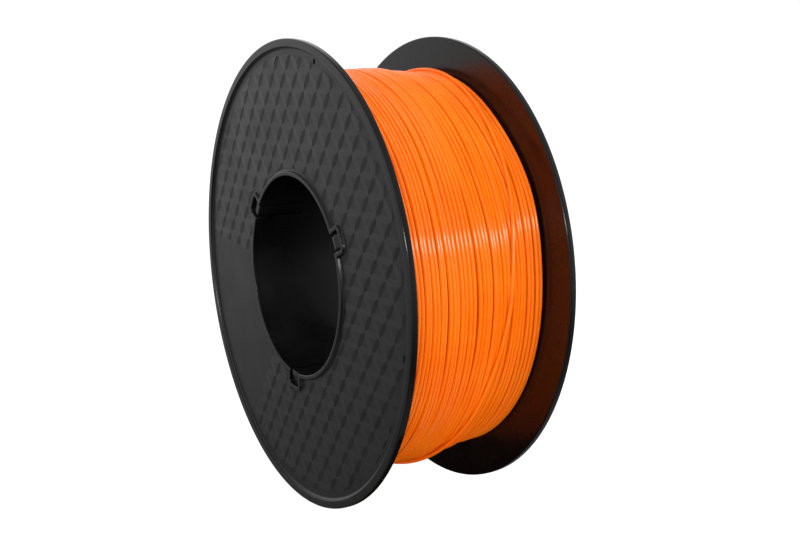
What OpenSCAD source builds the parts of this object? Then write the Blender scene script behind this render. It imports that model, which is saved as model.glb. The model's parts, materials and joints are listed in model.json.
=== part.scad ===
// Filament spool: two snap-on flanges, a core with six latches, and the filament wound on it.
// The spool's axis is Y and the front flange faces -Y. The origin is the middle of the bore.

/* [Spool] */
// Outer diameter of both flanges
flange_d = 200; // [190:1:210]
// Width over both rims
spool_w = 74; // [70:1:80]
// Diameter of the bore
bore_d = 86; // [84:1:88]

/* [Flange] */
// Thickness of a flange at its rim
rim_t = 2.8; // [2.6:0.1:3.2]
// Width of the raised rim band
rim_band = 3.3; // [2.5:0.1:4.5]
// Thickness of the disc between the rim and the lip
web_t = 1.6; // [1.4:0.1:1.8]
// Width of the raised lip round the bore
lip_w = 1.9; // [1.5:0.1:2.2]
// Radius of the rim's rounded edges
edge_r = 0.4; // [0.2:0.1:0.6]
// Diameter of the hole that holds the filament's end
tail_hole_d = 2.2; // [2.2:0.1:3]
// Distance of that hole from the axis
tail_hole_r = 94; // [92:0.5:94]
// Direction of that hole, seen on the flange's outer face
tail_hole_angle = 78; // [72:1:90]

/* [Latches] */
// Direction of the first of the three latches at each end
latch_angle = 30; // [28:1:32]
// How far a notch reaches out from the bore
notch_depth = 6.5; // [6.2:0.1:7]
// Thickness of the ledge that a barb hooks over
ledge_t = 0.8; // [0.7:0.1:1]
// Angle that a latch spans
latch_span = 7; // [6:0.5:11]
// Angle between a latch and each side of its slot and window
latch_side_gap = 1; // [1:0.5:2]
// Length of a latch from its root to its tip
latch_l = 22; // [18:1:24]

/* [Core] */
// Outer diameter of the barrel that the filament is wound on
barrel_d = 106; // [105:1:112]
// Wall of the barrel
barrel_wall = 2; // [1.6:0.1:2.4]
// Wall of the bore tube
tube_wall = 1.8; // [1.6:0.1:2]
// Thickness of each rib between the barrel and the tube
rib_t = 1.6; // [1.2:0.1:2]

/* [Filament] */
// Diameter of the filament
filament_d = 1.75; // [1.75:0.05:1.8]
// Diameter over the winding at its middle
wound_mid_d = 174; // [150:1:176]
// Diameter over the winding beside each flange
wound_end_d = 166.6; // [146:0.2:168]

/* [Hidden] */
LATCHES = 3;
RIBS = 9;

BLACK = [0.12, 0.12, 0.13];
DARK = [0.2, 0.2, 0.21];
ORANGE = [1, 0.42, 0.08];
ROUND = 180;
// How far a cutting shape runs past what it cuts
cut_over = 1;

flange_r = flange_d / 2;
bore_r = bore_d / 2;
// From the middle of the spool to a flange's inner face
inner_half = spool_w / 2 - rim_t;

// A flange's centring ring sits inside the barrel
ring_h = 2.5;
ring_t = 2;
ring_gap = 0.1;
ring_r = barrel_d / 2 - barrel_wall - ring_gap;

// A barb reaches through the slot, whose outer edge is the ledge
slot_reach = 2;
barb_reach = 1.2;
barb_h = 1.2;
barb_nose = 0.3;
tip_land = 0.7;
notch_r = bore_r + notch_depth;
slot_r = bore_r + tube_wall + slot_reach;
barb_r = slot_r + barb_reach;
barb_gap = 0.1;
latch_tip = inner_half + ledge_t + barb_gap + barb_h;
latch_root = latch_tip - latch_l;
root_gap = 0.3;
slot_span = latch_span + 2 * latch_side_gap;
ledge_side = 0.5;
notch_span = slot_span + 2 * ledge_side;
latch_step = 360 / LATCHES;

rib_step = 360 / RIBS;
first_rib = latch_angle - rib_step / 2;
rib_gap = 0.2;
rib_half = inner_half - ring_h - rib_gap;

// The winding is crowned: full in the middle, lower beside the flanges
wound_gap = 0.05;
wound_half = inner_half - wound_gap;
crown_power = 1.6;
crown_steps = 20;

// The filament's end leaves the winding along a tangent and bends into the rear flange's hole
tail_bend_r = 8;
tail_gap = 1;
tail_inset = 0.4;
tail_z = inner_half - tail_gap - tail_bend_r;
tail_angle = 180 - tail_hole_angle + latch_step;
tail_start_r = wound_r(tail_z) + filament_d / 2;
tail_tangent = acos(tail_start_r / tail_hole_r);
tail_run = tail_hole_r * sin(tail_tangent) - tail_bend_r;
tail_end = spool_w / 2 - tail_inset;
tail_sides = 8;

// Radius over the winding at a distance z from the middle
function wound_r(z) =
    wound_mid_d / 2 - (wound_mid_d - wound_end_d) / 2 * pow(abs(z) / wound_half, crown_power);

// Points of an arc round c from angle a to angle b
function arc(c, r, a, b, n = 5) =
    [for (i = [0:n]) c + r * [cos(a + (b - a) * i / n), sin(a + (b - a) * i / n)]];

// Stands the axis along Y, with +Z of the drawing towards the front
module upright() {
    rotate([90, 0, 0]) children();
}

// Repeats its children at the three latch positions
module at_latches() {
    for (i = [0:LATCHES - 1]) rotate(latch_angle + i * latch_step) children();
}

// A sector about the X axis, its sides moved out by grow
module sector(r, span, grow = 0) {
    reach = 2 * r;
    tip = [-grow / sin(span / 2), 0];
    side = reach * [cos(span / 2), sin(span / 2)];
    intersection() {
        circle(r = r + grow, $fn = ROUND);
        polygon([tip, tip + side, tip + [side.x, -side.y]]);
    }
}

// Plan of the raised lip, which steps out round each notch
module lip_plan() {
    difference() {
        union() {
            circle(r = bore_r + lip_w, $fn = ROUND);
            at_latches() sector(notch_r, notch_span, lip_w);
        }
        circle(r = bore_r - cut_over, $fn = ROUND);
    }
}

// Section of a flange's disc: x is the radius, y the height over the inner face
function disc_section() = concat(
    [
        [bore_r - cut_over, 0],
        [ring_r - ring_t, 0],
        [ring_r - ring_t, -ring_h],
        [ring_r, -ring_h],
        [ring_r, 0]
    ],
    arc([flange_r - edge_r, edge_r], edge_r, -90, 0),
    arc([flange_r - edge_r, rim_t - edge_r], edge_r, 0, 90),
    [
        [flange_r - rim_band, rim_t],
        [flange_r - rim_band - (rim_t - web_t), web_t],
        [bore_r - cut_over, web_t]
    ]
);

// A flange, lying on its inner face
module flange() {
    difference() {
        union() {
            rotate_extrude($fn = ROUND) polygon(disc_section());
            translate([0, 0, web_t / 2]) linear_extrude(rim_t - web_t / 2) lip_plan();
        }
        translate([0, 0, -cut_over]) cylinder(r = bore_r, h = spool_w, $fn = ROUND);
        at_latches() {
            translate([0, 0, ledge_t]) linear_extrude(spool_w) sector(notch_r, notch_span);
            translate([0, 0, -cut_over]) linear_extrude(spool_w) sector(slot_r, slot_span);
        }
        rotate(tail_hole_angle) translate([tail_hole_r, 0, -cut_over])
            cylinder(d = tail_hole_d, h = spool_w, $fn = 24);
    }
}

module front_flange() {
    color(BLACK) upright() translate([0, 0, inner_half]) flange();
}

// The same moulding turned to face back, one latch step further round
module rear_flange() {
    color(BLACK) upright() rotate(latch_step) rotate([0, 180, 0])
        translate([0, 0, inner_half]) flange();
}

module barrel() {
    color(DARK) upright() difference() {
        cylinder(d = barrel_d, h = 2 * inner_half, center = true, $fn = ROUND);
        cylinder(r = barrel_d / 2 - barrel_wall, h = spool_w, center = true, $fn = ROUND);
    }
}

// The bore tube, with a window for each latch at both ends
module bore_tube() {
    color(DARK) upright() difference() {
        cylinder(r = bore_r + tube_wall, h = 2 * inner_half, center = true, $fn = ROUND);
        cylinder(r = bore_r, h = spool_w, center = true, $fn = ROUND);
        for (side = [0, 1]) mirror([0, 0, side]) at_latches() translate([0, 0, latch_root])
            linear_extrude(spool_w) sector(barrel_d / 2, slot_span);
    }
}

// One radial rib, which stops short of the flanges' centring rings
module core_rib(i) {
    inner = sqrt(pow(bore_r + tube_wall, 2) - pow(rib_t / 2, 2));
    outer = sqrt(pow(barrel_d / 2 - barrel_wall, 2) - pow(rib_t / 2, 2));
    color(DARK) upright() rotate(first_rib + i * rib_step)
        translate([inner, -rib_t / 2, -rib_half]) cube([outer - inner, rib_t, 2 * rib_half]);
}

// One latch: a tongue in the wall of the bore tube, with a barb at its tip
module latch(i) {
    tongue_r = bore_r + tube_wall;
    catch = latch_tip - barb_h;
    rotate(latch_angle + (i - 1) * latch_step - latch_span / 2)
        rotate_extrude(angle = latch_span, $fn = ROUND) polygon([
            [bore_r, latch_root + root_gap],
            [tongue_r, latch_root + root_gap],
            [tongue_r, catch],
            [barb_r, catch],
            [barb_r, catch + barb_nose],
            [tongue_r + tip_land, latch_tip],
            [bore_r, latch_tip]
        ]);
}

module front_latch(i) {
    color(DARK) upright() latch(i);
}

module rear_latch(i) {
    color(DARK) upright() mirror([0, 0, 1]) latch(i);
}

// The wound filament as one solid
module winding() {
    crown = [
        for (i = [0:crown_steps])
            let (z = wound_half * (2 * i / crown_steps - 1))
            [wound_r(z), z]
    ];
    color(ORANGE) upright() rotate_extrude($fn = ROUND)
        polygon(concat([[barrel_d / 2, wound_half], [barrel_d / 2, -wound_half]], crown));
}

// A tube along a route that lies in the plane of a and z: points are [distance along a, z]
module planar_tube(start, a, route, d) {
    n = [a.y, -a.x, 0];
    last = len(route) - 1;
    rings = [
        for (k = [0:last])
            let (
                before = route[max(k - 1, 0)],
                after = route[min(k + 1, last)],
                step = (after - before) / norm(after - before),
                m = [-step.y * a.x, -step.y * a.y, step.x],
                at = start + route[k].x * a + [0, 0, route[k].y]
            )
            for (j = [0:tail_sides - 1])
                let (t = 360 * j / tail_sides)
                at + d / 2 * (cos(t) * n + sin(t) * m)
    ];
    sides = [
        for (k = [0:last - 1], j = [0:tail_sides - 1])
            let (p = k * tail_sides, q = (j + 1) % tail_sides)
            [p + j, p + q, p + q + tail_sides, p + j + tail_sides]
    ];
    caps = [
        [for (j = [tail_sides - 1:-1:0]) j],
        [for (j = [0:tail_sides - 1]) last * tail_sides + j]
    ];
    polyhedron(rings, concat(sides, caps));
}

// The filament's free end, from the winding to the rear flange's outer side
module filament_end() {
    leave = tail_angle - tail_tangent;
    start = tail_start_r * [cos(leave), sin(leave), 0];
    along = [-sin(leave), cos(leave), 0];
    route = concat(
        [for (k = [0:8]) [tail_run * k / 9, -tail_z]],
        [for (t = [0:15:90]) [tail_run + tail_bend_r * sin(t), -tail_z - tail_bend_r * (1 - cos(t))]],
        [[tail_run + tail_bend_r, -tail_end]]
    );
    color(ORANGE) upright() planar_tube(start, along, route, filament_d);
}

front_flange();
rear_flange();
barrel();
bore_tube();
for (i = [1:RIBS]) core_rib(i);
for (i = [1:LATCHES]) front_latch(i);
for (i = [1:LATCHES]) rear_latch(i);
winding();
filament_end();
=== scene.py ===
"""Looks of a filament spool: two snap-on flanges, a core with sprung latches, and orange filament.

Lengths are in millimetres until a mesh is made. A flange is drawn lying on its inner face, with h as the
height over that face, and is then stood up round the spool's axis, which is Y.
"""
import json
import math

import bmesh
import bpy
import numpy as np
from mathutils import Matrix, Vector, noise


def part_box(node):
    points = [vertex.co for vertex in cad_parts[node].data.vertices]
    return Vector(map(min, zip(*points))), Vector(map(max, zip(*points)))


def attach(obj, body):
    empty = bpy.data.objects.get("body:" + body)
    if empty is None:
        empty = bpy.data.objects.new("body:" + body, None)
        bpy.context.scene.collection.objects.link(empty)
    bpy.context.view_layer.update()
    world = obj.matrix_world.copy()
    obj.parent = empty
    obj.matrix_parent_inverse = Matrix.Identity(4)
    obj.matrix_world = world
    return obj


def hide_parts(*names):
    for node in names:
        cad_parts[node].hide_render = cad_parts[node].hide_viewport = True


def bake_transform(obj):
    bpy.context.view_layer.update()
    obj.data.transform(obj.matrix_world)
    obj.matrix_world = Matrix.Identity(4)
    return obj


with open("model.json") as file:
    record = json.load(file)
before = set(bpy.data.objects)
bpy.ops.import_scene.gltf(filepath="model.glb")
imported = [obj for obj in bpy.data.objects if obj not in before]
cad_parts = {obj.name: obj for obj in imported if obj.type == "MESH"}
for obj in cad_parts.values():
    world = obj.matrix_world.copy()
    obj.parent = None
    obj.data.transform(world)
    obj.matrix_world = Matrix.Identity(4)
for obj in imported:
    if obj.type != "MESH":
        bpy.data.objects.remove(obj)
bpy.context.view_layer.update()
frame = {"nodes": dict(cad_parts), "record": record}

MM = 0.001


def box_mm(node):
    """A CAD node's lowest and highest corners, in millimetres."""
    low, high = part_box(node)
    return np.array(low) / MM, np.array(high) / MM


# Sizes taken from the frame
FLANGE_R = box_mm("front_flange")[1][0]
SPOOL_HALF = -box_mm("front_flange")[0][1]
INNER_HALF = box_mm("barrel")[1][1]
BARREL_R = box_mm("barrel")[1][0]
BORE_R = frame["record"]["mounts"][0]["dims"]["r_mm"]
LATCH_TIP = -box_mm("front_latch_1")[0][1]
LATCH_BACK = -box_mm("front_latch_1")[1][1]
WOUND_R = box_mm("winding")[1][0]
RIM_T = SPOOL_HALF - INNER_HALF

# The flange's and the latches' own sizes, as in the CAD model. A half is half the angle that a thing spans.
WEB_T = 1.6
LIP_W = 1.9
RIM_BAND = 3.3
LEDGE_T = 0.8
NOTCH_R = BORE_R + 6.5
NOTCH_HALF = 5
NOTCH_CORNER = 1.2
SLOT_R = BORE_R + 3.8
SLOT_HALF = 4.5
RING_R = BARREL_R - 2.1
RING_T = 2
RING_H = 2.5
TAIL_HOLE_R = 94
TAIL_HOLE_D = 2.2
TAIL_HOLE_ANGLE = 78
LATCH_ANGLE = 30
LATCHES = 3
LATCH_STEP = 360 / LATCHES
LATCH_HALF = 3.5
TUBE_WALL = 1.8
BARB_R = SLOT_R + 1.2
BARB_H = 1.2
FILAMENT_D = 1.75
TAIL_BEND_R = 8
TAIL_INSET = 0.4

# How far the lip's foot runs out over the face
LIP_FOOT = 1.7

# The relief on a flange's outer face: cells BLOCK_W wide in rows BLOCK_ROW apart, whose corners are up to
# two rises high, and cut off at the levels. BLOCK_LEAN moves high and low corners towards each other, so
# that one side of a block is steeper. The relief stops RELIEF_MARGIN short of the rim band, and at the
# label's field, which runs from LABEL_FROM to LABEL_TO degrees.
BLOCK_W = 11.6
BLOCK_ROW = 7.6
BLOCK_RISE = 0.24
BLOCK_LEAN = 0.8
BLOCK_TURN = 4
BLOCK_SHIFT = (-1.6, 0.3)
BLOCK_LEVELS = (0.5, 1.5)
RELIEF_MARGIN = 3.4
LABEL_FROM = 180
LABEL_TO = 238

# Where the winding is higher than usual: direction, half width and height of each hump
HUMPS = ((30, 16, 1.9), (82, 26, 1.3))
HUMP_FROM = 14
HUMP_EASE = 12

# The outer layers of the winding: spacing of the turns, and the gap between a layer and a flange
PITCH = 1.78
LAYER_GAP = 0.05
# Where round the spool the turns of each layer are counted from
LAYER_START = math.radians(206)

# The filament's last turn: degrees back from where it leaves the winding, and place along the axis
TAIL_TURN = (0, 60, 110, 146, 188, 243, 300)
TAIL_ALONG = (25.2, 28.6, 29.6, 26, 17.5, 4.5, -6)
# How far the layer that it lies on is below the winding's top, by place along the axis
TAIL_BED_ALONG = (8, 11, 16, 19)
TAIL_BED_DROP = (0.1, 1.3, 1.6, 3.0)
TAIL_STAND = 0.35
TAIL_SINK_FROM = 270
TAIL_SINK_OVER = 30


# ---------------------------------------------------------------- meshes

def polar(radius, degrees):
    """Points in a plane from their distances and directions."""
    angle = np.radians(degrees)
    return np.stack([radius * np.cos(angle), radius * np.sin(angle)], axis=-1)


def turned(points, degrees):
    """Points of a plane, turned round the origin."""
    a = math.radians(degrees)
    return points @ np.array([[math.cos(a), math.sin(a)], [-math.sin(a), math.cos(a)]])


def arc(centre, radius, start, end, steps):
    """Points of an arc, both ends included."""
    return np.array(centre) + polar(radius, np.linspace(start, end, steps + 1))


def make_object(name, points, faces, material):
    """A smooth-shaded mesh object from points in millimetres."""
    mesh = bpy.data.meshes.new(name)
    mesh.from_pydata((np.asarray(points) * MM).tolist(), [], faces)
    mesh.materials.append(material)
    return finish_mesh(name, mesh)


def finish_mesh(name, mesh, smooth=35, flat_slot=None):
    """A smooth-shaded object, with faces of one material slot left flat if flat_slot names it."""
    bm = bmesh.new()
    bm.from_mesh(mesh)
    bmesh.ops.remove_doubles(bm, verts=bm.verts, dist=0.002 * MM)
    bmesh.ops.dissolve_degenerate(bm, edges=bm.edges, dist=0.001 * MM)
    bmesh.ops.recalc_face_normals(bm, faces=bm.faces)
    bm.to_mesh(mesh)
    bm.free()
    mesh.polygons.foreach_set("use_smooth", [True] * len(mesh.polygons))
    mesh.set_sharp_from_angle(angle=math.radians(smooth))
    if flat_slot is not None:
        flat = [face.material_index != flat_slot for face in mesh.polygons]
        mesh.polygons.foreach_set("use_smooth", flat)
    piece = bpy.data.objects.new(name, mesh)
    bpy.context.scene.collection.objects.link(piece)
    return piece


def grid_faces(rows, columns, close_rows=False):
    """Quads of a grid of points that closes on itself along its columns."""
    last = rows if close_rows else rows - 1
    faces = []
    for i in range(last):
        for j in range(columns):
            k = (j + 1) % columns
            below, above = i * columns, (i + 1) % rows * columns
            faces.append((below + j, below + k, above + k, above + j))
    return faces


def stand_up(points, rear=False):
    """Turns points of a flange drawing into the spool's frame, for the front or the rear flange."""
    x, y, h = np.asarray(points, float).T
    if not rear:
        return np.stack([x, -(INNER_HALF + h), y], axis=-1)
    turn = math.radians(LATCH_STEP)
    x, y = -x * math.cos(turn) - y * math.sin(turn), -x * math.sin(turn) + y * math.cos(turn)
    return np.stack([x, INNER_HALF + h, y], axis=-1)


def solid_from(points, faces, name):
    """A plain mesh object from points in millimetres, to cut or be cut."""
    mesh = bpy.data.meshes.new(name)
    mesh.from_pydata((np.asarray(points) * MM).tolist(), [], faces)
    bm = bmesh.new()
    bm.from_mesh(mesh)
    bmesh.ops.remove_doubles(bm, verts=bm.verts, dist=0.002 * MM)
    bmesh.ops.recalc_face_normals(bm, faces=bm.faces)
    bm.to_mesh(mesh)
    bm.free()
    piece = bpy.data.objects.new(name, mesh)
    bpy.context.scene.collection.objects.link(piece)
    return piece


def boolean(piece, other, operation):
    """The mesh of piece after a boolean with other."""
    modifier = piece.modifiers.new("cut", "BOOLEAN")
    modifier.operation = operation
    modifier.solver = "EXACT"
    modifier.object = other
    graph = bpy.context.evaluated_depsgraph_get()
    mesh = bpy.data.meshes.new_from_object(piece.evaluated_get(graph), depsgraph=graph)
    piece.modifiers.remove(modifier)
    return mesh


# ---------------------------------------------------------------- flanges

def half_outline(reach, half_span, w, corner, mouth):
    """Half of a notch's outline moved w into the plastic, from its middle to midway between latches.
    reach is the notch's outer radius, corner and mouth the radii of its outer and inner corners."""
    outer, bore = reach + w, BORE_R + w
    # The corners' middles, as distances along the notch's side and across it, and their directions
    corner_across, mouth_across = w - corner, w + mouth
    corner_along = math.sqrt((outer - corner) ** 2 - corner_across ** 2)
    mouth_along = math.sqrt((bore + mouth) ** 2 - mouth_across ** 2)
    corner_at = math.degrees(math.atan2(corner_across, corner_along))
    mouth_at = math.degrees(math.atan2(mouth_across, mouth_along))
    even_from = 8
    back = arc((0, 0), outer, -half_span, corner_at, 10)
    turn_out = arc((corner_along, corner_across), corner, corner_at, 90, 6)
    side = np.linspace((corner_along, w), (mouth_along, w), 8)
    turn_in = arc((mouth_along, mouth_across), mouth, -90, mouth_at - 180, 6)
    to_even = arc((0, 0), bore, mouth_at, even_from, 2)
    bore_arc = arc((0, 0), bore, even_from, LATCH_STEP / 2 - half_span, 32)
    line = np.concatenate([back[:-1], turn_out[:-1], side[:-1], turn_in[:-1], to_even[:-1], bore_arc])
    return turned(line, half_span)


def outline(reach, half_span, w, corner, mouth=0.8):
    """Closed outline of the bore with its three notches, moved w into the plastic."""
    half = half_outline(reach, half_span, w, corner, mouth)
    mirrored = half[::-1] * (1, -1)
    parts = []
    for k in range(LATCHES):
        for line, step in ((half[:-1], k), (mirrored[:-1], k + 1)):
            parts.append(turned(line, LATCH_ANGLE + LATCH_STEP * step))
    return np.concatenate(parts)


COLUMNS = len(outline(NOTCH_R, NOTCH_HALF, 0, NOTCH_CORNER))


def ring(radius):
    """A circle with as many points as an outline of the bore."""
    return polar(radius, LATCH_ANGLE + 360 * np.arange(COLUMNS) / COLUMNS)


def lip_section():
    """The lip's section from the ledge over the top to the face: (distance from the bore's wall, height)."""
    fillet = 0.4
    inner = arc((fillet, RIM_T - fillet), fillet, 180, 90, 5)
    outer = arc((LIP_W - fillet, RIM_T - fillet), fillet, 90, 25, 4)
    foot = [(LIP_W + 0.1, WEB_T + 0.4), (LIP_W + 0.25, WEB_T + 0.15), (LIP_W + 0.6, WEB_T + 0.02)]
    return [(0, LEDGE_T), *inner, (0.8, RIM_T), (1.3, RIM_T), *outer, *foot, (LIP_W + LIP_FOOT, WEB_T)]


def rim_section():
    """The rim's section: (radius, height), from the face over the rim to the inner face."""
    band = FLANGE_R - RIM_BAND
    edge = 0.5
    foot = arc((band - 1.4, WEB_T + 1.3), 1.3, -90, -30, 5)
    shoulder = arc((band + 0.15, RIM_T - 0.4), 0.4, 150, 90, 4)
    top = [(band + 0.5, RIM_T), (FLANGE_R - edge - 0.5, RIM_T)]
    outer = arc((FLANGE_R - edge, RIM_T - edge), edge, 90, 0, 6)
    inner = arc((FLANGE_R - edge, edge), edge, 0, -90, 6)
    return [*foot, *shoulder, *top, *outer, *inner]


def flange_rows():
    """Rows of points round the flange, from its slots over the face and the rim to the centring ring."""
    rows = []

    def add(plan, height):
        rows.append(np.column_stack([plan, np.full(len(plan), height)]))

    slot = outline(SLOT_R, SLOT_HALF, 0, corner=0.3, mouth=0.3)
    add(slot, 0)
    add(slot, LEDGE_T)
    for w, height in lip_section():
        add(outline(NOTCH_R, NOTCH_HALF, w, corner=NOTCH_CORNER + w), height)
    foot, blend_r = rows[-1][:, :2], NOTCH_R + 20
    for share in (0.25, 0.6, 1):
        add((1 - share) * foot + share * ring(blend_r), WEB_T)
    add(ring(FLANGE_R - 15), WEB_T)
    for radius, height in rim_section():
        add(ring(radius), height)
    for radius in (FLANGE_R - 1, FLANGE_R - 12, BARREL_R + 8, RING_R):
        add(ring(radius), 0)
    add(ring(RING_R), -RING_H)
    add(ring(RING_R - RING_T), -RING_H)
    add(ring(RING_R - RING_T), 0)
    return np.array(rows)


def block_slab():
    """A slab whose top is a field of low three-sided blocks, cut off flat at their tops and feet."""
    points, faces = {}, []

    def point(i, j):
        return points.setdefault((i, j), len(points))

    rows, columns = int(FLANGE_R / BLOCK_ROW) + 2, int(FLANGE_R / BLOCK_W) + 2
    for row in range(-rows, rows + 1):
        for column in range(-columns, columns + 1):
            i, j = 2 * column + row % 2, 3 * row
            middle = point(i, j)
            rim = [point(i + a, j + b) for a, b in ((0, 2), (1, 1), (1, -1), (0, -2), (-1, -1), (-1, 1))]
            faces += [(middle, rim[1], rim[0], rim[5]), (middle, rim[3], rim[2], rim[1])]
            faces += [(middle, rim[5], rim[4], rim[3])]
    step = np.array([BLOCK_W / 2, BLOCK_ROW / 3])
    lean = BLOCK_LEAN * step * (1, -1) / np.linalg.norm(step)
    top = []
    for i, j in points:
        x, y = (i, j) * step + lean * (1, 0, -1)[j % 3]
        top.append((x, y, WEB_T + BLOCK_RISE * (2 - j % 3)))
    turn = Matrix.Rotation(math.radians(BLOCK_TURN), 3, "Z")
    slab = solid_from([turn @ Vector(p) + Vector((*BLOCK_SHIFT, 0)) for p in top], faces, "block_slab")
    bm = bmesh.new()
    bm.from_mesh(slab.data)
    for level in BLOCK_LEVELS:
        cut = (0, 0, (WEB_T + BLOCK_RISE * level) * MM)
        everything = bm.verts[:] + bm.edges[:] + bm.faces[:]
        bmesh.ops.bisect_plane(bm, geom=everything, plane_co=cut, plane_no=(0, 0, 1))
    low, high = BLOCK_LEVELS
    for vert in bm.verts:
        level = min(max((vert.co.z / MM - WEB_T) / BLOCK_RISE, low), high)
        vert.co.z = (WEB_T + 0.03 + BLOCK_RISE * (level - low)) * MM
    grown = bmesh.ops.extrude_face_region(bm, geom=bm.faces[:])
    for vert in [g for g in grown["geom"] if isinstance(g, bmesh.types.BMVert)]:
        vert.co.z = (WEB_T - 0.4) * MM
    bmesh.ops.recalc_face_normals(bm, faces=bm.faces)
    bm.to_mesh(slab.data)
    bm.free()
    return slab


def relief_area():
    """The part of the outer face that carries blocks, as a prism: all round but the label's field."""
    margin = LIP_W + LIP_FOOT - 0.3
    inner = outline(NOTCH_R, NOTCH_HALF, margin, corner=NOTCH_CORNER + margin)
    angle = (np.degrees(np.arctan2(inner[:, 1], inner[:, 0])) - LABEL_TO) % 360
    order = np.argsort(angle)
    keep = order[angle[order] <= LABEL_FROM + 360 - LABEL_TO]
    inner = inner[keep]
    direction = inner / np.linalg.norm(inner, axis=1)[:, None]
    outer = direction * (FLANGE_R - RIM_BAND - RELIEF_MARGIN)
    low, high = WEB_T - 0.3, RIM_T + 1
    rows = [np.column_stack([plan, np.full(len(plan), h)])
            for plan, h in ((inner, low), (outer, low), (outer, high), (inner, high))]
    points = np.stack(rows, axis=1).reshape(-1, 3)
    faces = grid_faces(len(keep), 4)
    last = 4 * (len(keep) - 1)
    faces += [(0, 1, 2, 3), (last + 3, last + 2, last + 1, last)]
    return solid_from(points, faces, "relief_area")


def sink_border(mesh):
    """Brings the relief down to the face along its outer border."""
    border = FLANGE_R - RIM_BAND - RELIEF_MARGIN - 0.05
    for vert in mesh.vertices:
        if vert.co.z > WEB_T * MM and vert.co.xy.length > border * MM:
            vert.co.z = (WEB_T + 0.01) * MM


def hole_cutter():
    """A round bar through the place of the small hole near the rim."""
    sides = 24
    plan = polar(TAIL_HOLE_R, TAIL_HOLE_ANGLE) + polar(TAIL_HOLE_D / 2, 360 / sides * np.arange(sides))
    rows = [np.column_stack([plan, np.full(sides, h)]) for h in (-RIM_T, 2 * RIM_T)]
    ends = [tuple(range(sides)), tuple(range(2 * sides - 1, sides - 1, -1))]
    return solid_from(np.concatenate(rows), grid_faces(2, sides) + ends, "hole_cutter")


def flange_mesh(satin, gloss, edge):
    """The whole flange in its drawing position: satin on its outer face, glossy elsewhere."""
    rows = flange_rows()
    faces = grid_faces(len(rows), COLUMNS, close_rows=True)
    disc = solid_from(rows.reshape(-1, 3), faces, "disc")
    cutter, slab, area = hole_cutter(), block_slab(), relief_area()
    slab.data = boolean(slab, area, "INTERSECT")
    sink_border(slab.data)
    disc.data = boolean(disc, cutter, "DIFFERENCE")
    slab.data = boolean(slab, cutter, "DIFFERENCE")
    bm = bmesh.new()
    bm.from_mesh(disc.data)
    bm.from_mesh(slab.data)
    mesh = bpy.data.meshes.new("flange")
    bm.to_mesh(mesh)
    bm.free()
    for material in (satin, gloss, edge):
        mesh.materials.append(material)
    for face in mesh.polygons:
        flat = face.normal.z > 0.97 and face.center.z / MM < WEB_T + 0.01
        block = face.center.z / MM > WEB_T and face.normal.z > 0.5 and on_relief(face.center)
        outside = face.center.xy.length / MM > FLANGE_R - 0.6
        face.material_index = 0 if flat or block else 2 if outside else 1
    for spare in (disc, cutter, slab, area):
        bpy.data.objects.remove(spare)
    return mesh


def on_relief(point):
    """Whether a point of the flange is as far from the axis as the relief is."""
    rim_foot = 1.9
    return BORE_R + LIP_W + LIP_FOOT < point.xy.length / MM < FLANGE_R - RIM_BAND - rim_foot


def build_flanges(satin, gloss, edge):
    drawing = flange_mesh(satin, gloss, edge)
    drawn = np.zeros(3 * len(drawing.vertices))
    drawing.vertices.foreach_get("co", drawn)
    for node, rear in (("front_flange", False), ("rear_flange", True)):
        mesh = drawing.copy()
        mesh.vertices.foreach_set("co", (stand_up(drawn.reshape(-1, 3) / MM, rear) * MM).ravel())
        piece = finish_mesh(node + "_moulding", mesh, smooth=24, flat_slot=0)
        place(piece, "spool", "flange_plastic", node)


# ---------------------------------------------------------------- filament

def strand(name, radius, along, angle, material):
    """A strand of filament through points given as distance from the axis, place along it, and angle."""
    path = np.column_stack([radius * np.cos(angle), along, radius * np.sin(angle)])
    return tube(name, path, material)


def tube(name, path, material, sides=10):
    """A round tube along a path, closed at both ends."""
    tangent = np.gradient(path, axis=0)
    tangent /= np.linalg.norm(tangent, axis=1)[:, None]
    outward = path * (1, 0, 1)
    outward /= np.linalg.norm(outward, axis=1)[:, None]
    outward -= np.sum(outward * tangent, axis=1)[:, None] * tangent
    outward /= np.linalg.norm(outward, axis=1)[:, None]
    across = np.cross(tangent, outward)
    turn = 2 * math.pi * np.arange(sides) / sides
    section = outward[:, None] * np.cos(turn)[:, None] + across[:, None] * np.sin(turn)[:, None]
    points = (path[:, None] + FILAMENT_D / 2 * section).reshape(-1, 3)
    end = len(points)
    faces = grid_faces(len(path), sides)
    faces += [tuple(range(sides)), tuple(range(end - 1, end - sides - 1, -1))]
    return make_object(name, points, faces, material)


def drift(angle, turns, seed, spread):
    """Smooth noise along a strand that changes a little from one turn to the next."""
    values = [noise.noise(Vector((1.3 * math.cos(a), 1.3 * math.sin(a), spread * t + seed)))
              for a, t in zip(angle, turns)]
    return np.array(values)


def hump(angle, along):
    """Extra height near the rear flange, where turns have piled up over each other."""
    away = [np.degrees(np.arctan2(np.sin(angle - math.radians(at)), np.cos(angle - math.radians(at))))
            for at, _, _ in HUMPS]
    height = sum(rise * np.exp(-(d / half_width) ** 2) for d, (_, half_width, rise) in zip(away, HUMPS))
    near_rear = np.clip((along - HUMP_FROM) / HUMP_EASE, 0, 1)
    return height * near_rear ** 2 * (3 - 2 * near_rear)


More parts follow.
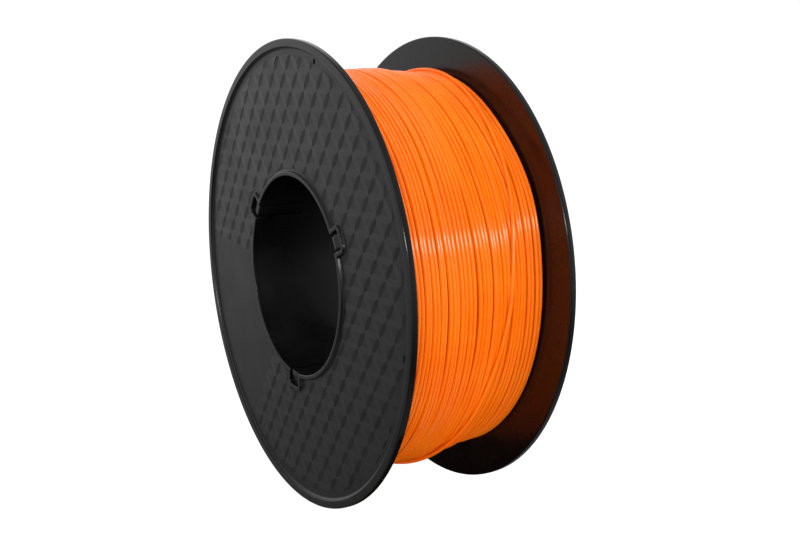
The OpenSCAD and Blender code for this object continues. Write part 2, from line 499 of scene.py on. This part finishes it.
def layer(name, top_r, start, end, seed, material):
    """One layer of turns from start to end along the axis, with its outer side near top_r."""
    sway, lift = 0.55, 0.6
    edge_zone, edge_drop = 2.2, 0.25
    turns = round(abs(end - start) / PITCH)
    travel = np.linspace(0, turns, 120 * turns)
    angle = 2 * math.pi * travel + LAYER_START
    along = start + (end - start) * travel / turns
    room = np.clip((INNER_HALF - 1 - np.abs(along)) / 3, 0, 1)
    wander = sway * drift(angle, travel, seed, 0.9) + 2 * sway * drift(angle, travel, seed + 20, 0.2)
    along = along + room * wander
    limit = INNER_HALF - FILAMENT_D / 2 - LAYER_GAP
    along = np.clip(along, -limit, limit)
    rise = lift * (drift(angle, travel, seed + 40, 1.1) - 0.1)
    radius = top_r - FILAMENT_D / 2 + rise + hump(angle, along)
    radius -= edge_drop * np.clip((np.abs(along) - limit + edge_zone) / edge_zone, 0, 1) ** 2
    return strand(name, radius, along, angle, material)


def build_winding(material):
    """The outer layers as real strands over a solid that stands for all the layers below."""
    half = INNER_HALF - LAYER_GAP
    under, sides = WOUND_R - 5.2, 180
    outside = [(under - 1, -half), (under, 3 - half), (under, half - 3), (under - 1, half)]
    section = [(BARREL_R, -half), *outside, (BARREL_R, half)]
    around = 360 / sides * np.arange(sides)
    rows = [np.column_stack([polar(r, around), np.full(sides, y)]) for r, y in section]
    points = np.concatenate(rows)[:, [0, 2, 1]]
    inner = make_object("inner_layers", points, grid_faces(len(rows), sides, close_rows=True), material)
    place(inner, "spool", "filament", "winding")
    edge = half - FILAMENT_D / 2
    plan = (
        ("layer_4", WOUND_R - 4.4, -edge, edge, 3.1),
        ("layer_3", WOUND_R - 3.0, edge, -edge, 5.7),
        ("layer_2", WOUND_R - 1.5, -edge, 17, 8.2),
        ("layer_1", WOUND_R - 0.1, 9, -27, 11.9),
    )
    for name, top_r, start, end, seed in plan:
        place(layer("filament_" + name, top_r, start, end, seed, material), "spool", "filament")


def tail_on_winding(leave):
    """The last turn, as far as the angle leave: slantwise over the winding and along the rear flange."""
    steps, smoothing = 220, 8
    back = np.linspace(TAIL_TURN[-1], 0, steps)
    along = np.interp(back, TAIL_TURN, TAIL_ALONG)
    window = 2 * smoothing + 1
    along = np.convolve(np.pad(along, smoothing, mode="edge"), np.ones(window) / window, mode="valid")
    angle = leave - np.radians(back)
    top = WOUND_R - np.interp(along, TAIL_BED_ALONG, TAIL_BED_DROP) + hump(angle, along)
    sink = np.clip((back - TAIL_SINK_FROM) / TAIL_SINK_OVER, 0, 1)
    radius = top + TAIL_STAND * FILAMENT_D - FILAMENT_D * sink
    return np.column_stack([radius * np.cos(angle), along, radius * np.sin(angle)])


def build_tail(material):
    """The filament's end: over the winding, along a tangent, and round into the rear flange's hole."""
    hole = math.radians(180 - TAIL_HOLE_ANGLE + LATCH_STEP)
    tangent = math.acos((WOUND_R - TAIL_BED_DROP[-1]) / TAIL_HOLE_R)
    leave = hole - tangent
    run = TAIL_HOLE_R * math.sin(tangent) - TAIL_BEND_R
    on_winding = tail_on_winding(leave)
    direction = np.array([-math.sin(leave), 0, math.cos(leave)])
    straight = on_winding[-1] + np.linspace(0.1, 1, 14)[:, None] * run * direction
    sweep = np.radians(np.arange(10, 91, 10))[:, None]
    backwards = np.array([[0, 1, 0]])
    corner = straight[-1] + TAIL_BEND_R * (np.sin(sweep) * direction + (1 - np.cos(sweep)) * backwards)
    out = corner[-1] + backwards * (SPOOL_HALF - TAIL_INSET - corner[-1][1])
    piece = tube("filament_tail", np.concatenate([on_winding, straight, corner, out]), material)
    place(piece, "spool", "filament", "filament_end")


# ---------------------------------------------------------------- latches

def latch_section(grow=0.0):
    """A latch's section: (radius, distance from the middle), with the barb's rounded nose."""
    catch = LATCH_TIP - BARB_H
    tongue = BORE_R + TUBE_WALL
    inner = BORE_R - grow
    return [
        (inner, LATCH_BACK - grow), (tongue + grow, LATCH_BACK - grow), (tongue + grow, catch - grow),
        (BARB_R + grow, catch - grow), (BARB_R + grow, catch + 0.35), (BARB_R - 0.15, catch + 0.6),
        (tongue + 0.75, LATCH_TIP - 0.12 + grow), (tongue + 0.4, LATCH_TIP + grow),
        (inner + 0.35, LATCH_TIP + grow), (inner + 0.08, LATCH_TIP - 0.1 + grow), (inner, LATCH_TIP - 0.4),
    ]


def latch(node, side, index, material):
    """One latch, standing in for the CAD node, with softened sides."""
    middle = LATCH_ANGLE + LATCH_STEP * index
    bevel = math.degrees(0.2 / BORE_R)
    spans = [(-LATCH_HALF, -0.2), (-LATCH_HALF + 0.3 * bevel, -0.06)]
    spans += [(a, 0.0) for a in np.linspace(-LATCH_HALF + bevel, LATCH_HALF - bevel, 8)]
    spans += [(LATCH_HALF - 0.3 * bevel, -0.06), (LATCH_HALF, -0.2)]
    rows = []
    for angle, grow in spans:
        section = np.array(latch_section(grow))
        plan = polar(section[:, 0], np.full(len(section), middle + angle))
        rows.append(np.column_stack([plan[:, 0], side * section[:, 1], plan[:, 1]]))
    size = len(rows[0])
    faces = grid_faces(len(rows), size)
    last = size * (len(rows) - 1)
    faces += [tuple(range(size)), tuple(range(last + size - 1, last - 1, -1))]
    piece = make_object(node + "_hook", np.concatenate(rows), faces, material)
    place(piece, node, "core_plastic", node)


def latch_root(node, side, index, material):
    """The thin plastic that joins a latch to the bore tube."""
    middle = LATCH_ANGLE + LATCH_STEP * index
    thinned, narrowed = 0.15, 0.4
    inner, outer = BORE_R + thinned, BORE_R + TUBE_WALL - thinned
    back, front = LATCH_BACK - 1.2, LATCH_BACK + 1
    section = [(inner, back), (outer, back), (outer, front), (inner, front)]
    rows = []
    for angle in np.linspace(-LATCH_HALF + narrowed, LATCH_HALF - narrowed, 9):
        plan = polar(np.array([r for r, _ in section]), np.full(4, middle + angle))
        rows.append(np.column_stack([plan[:, 0], [side * y for _, y in section], plan[:, 1]]))
    last = 4 * (len(rows) - 1)
    faces = grid_faces(len(rows), 4) + [(0, 1, 2, 3), (last + 3, last + 2, last + 1, last)]
    piece = make_object(node + "_root", np.concatenate(rows), faces, material)
    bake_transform(piece)


def build_latches(material):
    for side, end in ((-1, "front"), (1, "rear")):
        for index in range(LATCHES):
            node = f"{end}_latch_{index + 1}"
            latch(node, side, index, material)
            latch_root(node, side, index, material)


def place(piece, body, slot, *nodes):
    """Rides a piece on a body and lets it stand for CAD nodes, which it hides. slot is not used."""
    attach(piece, body)
    if nodes:
        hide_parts(*nodes)


# ---------------------------------------------------------------- materials

# Most of a noise texture's values lie between these
NOISE_LOW = 0.35
NOISE_HIGH = 0.65


def new_material(name):
    material = bpy.data.materials.new(name)
    material.use_nodes = True
    nodes, links = material.node_tree.nodes, material.node_tree.links
    return material, nodes, links, nodes["Principled BSDF"]


def add_noise(nodes, links, scale, detail):
    """A noise texture in the object's own coordinates."""
    where = nodes.new("ShaderNodeTexCoord")
    texture = nodes.new("ShaderNodeTexNoise")
    texture.inputs["Scale"].default_value = scale
    texture.inputs["Detail"].default_value = detail
    links.new(where.outputs["Object"], texture.inputs["Vector"])
    return texture


def vary(nodes, links, texture, socket, low, high):
    """Drives a number from low to high with a noise texture."""
    spread = nodes.new("ShaderNodeMapRange")
    spread.inputs["From Min"].default_value = NOISE_LOW
    spread.inputs["From Max"].default_value = NOISE_HIGH
    spread.inputs["To Min"].default_value = low
    spread.inputs["To Max"].default_value = high
    links.new(texture.outputs["Fac"], spread.inputs["Value"])
    links.new(spread.outputs["Result"], socket)


def tint(nodes, links, texture, socket, colours):
    """Drives a colour between two with a noise texture."""
    ramp = nodes.new("ShaderNodeValToRGB")
    ramp.color_ramp.elements[0].position = NOISE_LOW
    ramp.color_ramp.elements[1].position = NOISE_HIGH
    for element, colour in zip(ramp.color_ramp.elements, colours):
        element.color = (*colour, 1)
    links.new(texture.outputs["Fac"], ramp.inputs["Fac"])
    links.new(ramp.outputs["Color"], socket)


def add_bump(nodes, links, texture, shader, strength, depth):
    """Bumps from a noise texture, depth in millimetres."""
    bump = nodes.new("ShaderNodeBump")
    bump.inputs["Strength"].default_value = strength
    bump.inputs["Distance"].default_value = depth * MM
    links.new(texture.outputs["Fac"], bump.inputs["Height"])
    links.new(bump.outputs["Normal"], shader.inputs["Normal"])


def moulded_plastic(name, colours, roughness, grain):
    """Black styrene: cloudy colour and gloss from the mould, and a fine grain."""
    material, nodes, links, shader = new_material(name)
    cloud = add_noise(nodes, links, scale=60, detail=4)
    tint(nodes, links, cloud, shader.inputs["Base Color"], colours)
    vary(nodes, links, cloud, shader.inputs["Roughness"], *roughness)
    fine = add_noise(nodes, links, scale=2600, detail=3)
    add_bump(nodes, links, fine, shader, strength=grain, depth=0.02)
    shader.inputs["IOR"].default_value = 1.5
    return material


def filament_plastic():
    """Glossy orange filament: colour that drifts along a strand, and faint drawing marks."""
    material, nodes, links, shader = new_material("filament_orange")
    drifting = add_noise(nodes, links, scale=35, detail=3)
    colours = ((0.97, 0.16, 0.001), (1.0, 0.195, 0.002))
    tint(nodes, links, drifting, shader.inputs["Base Color"], colours)
    vary(nodes, links, drifting, shader.inputs["Roughness"], 0.14, 0.2)
    marks = add_noise(nodes, links, scale=900, detail=2)
    add_bump(nodes, links, marks, shader, strength=0.12, depth=0.02)
    shader.inputs["IOR"].default_value = 1.42
    shader.inputs["Subsurface Weight"].default_value = 0.3
    shader.inputs["Subsurface Radius"].default_value = (1, 0.3, 0.08)
    shader.inputs["Subsurface Scale"].default_value = 1.5 * MM
    return material


# ---------------------------------------------------------------- camera, light and floor

def build_camera():
    """The camera looks at the spool from its right, a little above, and is turned by a hair."""
    azimuth, elevation, roll = math.radians(59.58), math.radians(13.98), math.radians(0.80)
    distance, aside = 5.017 * FLANGE_R * MM, 0.1412 * FLANGE_R * MM
    level = math.cos(elevation)
    back = Vector((math.sin(azimuth) * level, -math.cos(azimuth) * level, math.sin(elevation)))
    right = Vector((math.cos(azimuth), math.sin(azimuth), 0))
    up = back.cross(right)
    turned_right = right * math.cos(roll) + up * math.sin(roll)
    turned_up = up * math.cos(roll) - right * math.sin(roll)
    data = bpy.data.cameras.new("camera")
    data.lens = 50.72
    data.sensor_width = 36
    data.clip_start = 0.01
    camera = bpy.data.objects.new("camera", data)
    axes = Matrix((turned_right, turned_up, back)).transposed()
    camera.matrix_world = Matrix.Translation(back * distance + right * aside) @ axes.to_4x4()
    bpy.context.scene.collection.objects.link(camera)
    bpy.context.scene.camera = camera


def build_light(name, azimuth, elevation, distance, size, power):
    """A soft rectangular light that faces the spool. Azimuth 0 is in front, 90 to the right."""
    a, e = math.radians(azimuth), math.radians(elevation)
    data = bpy.data.lights.new(name, "AREA")
    data.shape = "RECTANGLE"
    data.size, data.size_y = size
    data.energy = power
    light = bpy.data.objects.new(name, data)
    level = math.cos(e)
    light.location = Vector((math.sin(a) * level, -math.cos(a) * level, math.sin(e))) * distance
    light.rotation_euler = light.location.to_track_quat("Z", "Y").to_euler()
    bpy.context.scene.collection.objects.link(light)


def sky_strength(nodes, links, heights):
    """Brightness by direction: heights pairs how high a direction points, -1 to 1, with its strength."""
    where = nodes.new("ShaderNodeTexCoord")
    split = nodes.new("ShaderNodeSeparateXYZ")
    spread = nodes.new("ShaderNodeMapRange")
    ramp = nodes.new("ShaderNodeValToRGB")
    spread.inputs["From Min"].default_value = -1
    links.new(where.outputs["Generated"], split.inputs["Vector"])
    links.new(split.outputs["Z"], spread.inputs["Value"])
    links.new(spread.outputs["Result"], ramp.inputs["Fac"])
    stops = ramp.color_ramp.elements
    while len(stops) < len(heights):
        stops.new(0.5)
    for stop, (height, strength) in zip(stops, heights):
        stop.position = (height + 1) / 2
        stop.color = (strength, strength, strength, 1)
    return ramp.outputs["Color"]


def lobe(nodes, links, direction, start, end, high):
    """The share of full strength that is left as a direction turns away from one bright side."""
    where = nodes.new("ShaderNodeTexCoord")
    dot = nodes.new("ShaderNodeVectorMath")
    dot.operation = "DOT_PRODUCT"
    dot.inputs[1].default_value = direction
    spread = nodes.new("ShaderNodeMapRange")
    spread.inputs["From Min"].default_value = start
    spread.inputs["From Max"].default_value = end
    spread.inputs["To Min"].default_value = DIM_SIDE
    spread.inputs["To Max"].default_value = high
    links.new(where.outputs["Generated"], dot.inputs[0])
    links.new(dot.outputs["Value"], spread.inputs["Value"])
    return spread.outputs["Result"]


def side_share(nodes, links):
    """The share of the mirrored sky's strength in each direction, the greatest that a bright side gives."""
    share = lobe(nodes, links, *BRIGHT_SIDES[0])
    for side in BRIGHT_SIDES[1:]:
        greater = nodes.new("ShaderNodeMath")
        greater.operation = "MAXIMUM"
        links.new(share, greater.inputs[0])
        links.new(lobe(nodes, links, *side), greater.inputs[1])
        share = greater.outputs["Value"]
    return share


def background(nodes, links, brightness, strength):
    """A background shader. brightness is a grey or a socket, and so is strength."""
    shader = nodes.new("ShaderNodeBackground")
    if isinstance(brightness, float):
        shader.inputs["Color"].default_value = (brightness, brightness, brightness, 1)
    else:
        links.new(brightness, shader.inputs["Color"])
    if isinstance(strength, float):
        shader.inputs["Strength"].default_value = strength
    else:
        links.new(strength, shader.inputs["Strength"])
    return shader.outputs["Background"]


def build_world():
    """A white studio: what the camera sees, what lights the spool, and what the spool mirrors."""
    world = bpy.data.worlds.new("studio")
    bpy.context.scene.world = world
    world.use_nodes = True
    nodes, links = world.node_tree.nodes, world.node_tree.links
    dome = background(nodes, links, sky_strength(nodes, links, DOME), DOME_STRENGTH)
    mirrored = background(nodes, links, sky_strength(nodes, links, MIRRORED_SKY), side_share(nodes, links))
    wall = background(nodes, links, 1.0, 1.1)
    path = nodes.new("ShaderNodeLightPath")
    gloss_mix, camera_mix = nodes.new("ShaderNodeMixShader"), nodes.new("ShaderNodeMixShader")
    links.new(path.outputs["Is Glossy Ray"], gloss_mix.inputs["Fac"])
    links.new(dome, gloss_mix.inputs[1])
    links.new(mirrored, gloss_mix.inputs[2])
    links.new(path.outputs["Is Camera Ray"], camera_mix.inputs["Fac"])
    links.new(gloss_mix.outputs["Shader"], camera_mix.inputs[1])
    links.new(wall, camera_mix.inputs[2])
    links.new(camera_mix.outputs["Shader"], nodes["World Output"].inputs["Surface"])


def build_floor():
    """A white table that glows a little, so that it stays as white as the wall behind it."""
    material, nodes, links, shader = new_material("floor_white")
    speckle = add_noise(nodes, links, scale=8, detail=2)
    tint(nodes, links, speckle, shader.inputs["Base Color"], ((0.1, 0.1, 0.1), (0.12, 0.12, 0.12)))
    shader.inputs["Roughness"].default_value = 0.9
    shader.inputs["Emission Color"].default_value = (1, 1, 1, 1)
    shader.inputs["Emission Strength"].default_value = 1.02
    half = 20 * FLANGE_R
    corners = [(x * half, y * half, -FLANGE_R - 0.02) for x, y in ((-1, -1), (1, -1), (1, 1), (-1, 1))]
    floor = make_object("floor", corners, [(0, 1, 2, 3)], material)
    floor.visible_glossy = False
    floor.visible_diffuse = False


def build_table_shadow():
    """A card under the spool, painted near-black as the shadow that the spool casts on the table. It shows
    in reflections only.
    """
    material, nodes, links, shader = new_material("table_shadow")
    cloud = add_noise(nodes, links, scale=8, detail=2)
    # Painted shadow: the card's near-black colour stands for the table in the spool's shade
    tint(nodes, links, cloud, shader.inputs["Base Color"], ((0.01, 0.01, 0.01), (0.02, 0.02, 0.02)))
    shader.inputs["Roughness"].default_value = 0.9
    reach = 1.1 * FLANGE_R
    corners = [(x * reach, y * SPOOL_HALF, -FLANGE_R - 1) for x, y in ((-1, -1), (1, -1), (1, 1), (-1, 1))]
    card = make_object("table_shadow", corners, [(0, 1, 2, 3)], material)
    card.visible_camera = False
    card.visible_diffuse = False
    card.visible_shadow = False


# How bright the studio is in a direction that points this high, as light and as a reflection
DOME = ((-1, 0.5), (-0.3, 0.64), (0.3, 1.0), (1, 1.0))
DOME_STRENGTH = 1.28
MIRRORED_SKY = (
    (-1, 0.7), (-0.75, 0.5), (-0.5, 0.22), (-0.3, 0.42),
    (-0.12, 0.78), (0.02, 1.0), (1, 1.0),
)
# The mirrored studio's bright sides: direction, where the strength starts to grow and is full, and how full.
# Elsewhere it has the share DIM_SIDE.
BRIGHT_SIDES = (
    ((-0.98, 0.2, 0), 0.6, 0.92, 1.0),
    ((0, -1, 0), 0.68, 0.9, 0.85),
    ((0, 1, 0), 0.55, 0.75, 0.85),
)
DIM_SIDE = 0.34

build_camera()
build_world()
build_floor()
build_table_shadow()
build_light("side_window", azimuth=72, elevation=23, distance=1.2, size=(0.9, 0.12), power=5)

bpy.context.scene.view_settings.view_transform = "Standard"

GLOSS_COLOURS = ((0.002, 0.002, 0.0022), (0.0035, 0.0036, 0.0038))
SATIN_COLOURS = ((0.0026, 0.0027, 0.0028), (0.0042, 0.0043, 0.0045))
CORE_COLOURS = ((0.002, 0.002, 0.0021), (0.0032, 0.0032, 0.0034))

satin_black = moulded_plastic("satin_black", SATIN_COLOURS, roughness=(0.34, 0.42), grain=0.25)
gloss_black = moulded_plastic("gloss_black", GLOSS_COLOURS, roughness=(0.24, 0.3), grain=0.05)
edge_black = moulded_plastic("edge_black", GLOSS_COLOURS, roughness=(0.12, 0.16), grain=0.02)
core_black = moulded_plastic("core_black", CORE_COLOURS, roughness=(0.26, 0.34), grain=0.12)
orange = filament_plastic()

build_flanges(satin_black, gloss_black, edge_black)
build_winding(orange)
build_tail(orange)
build_latches(core_black)

for node, piece in frame["nodes"].items():
    if node == "barrel" or node.startswith(("bore_tube", "core_rib")):
        piece.data.materials.clear()
        piece.data.materials.append(core_black)
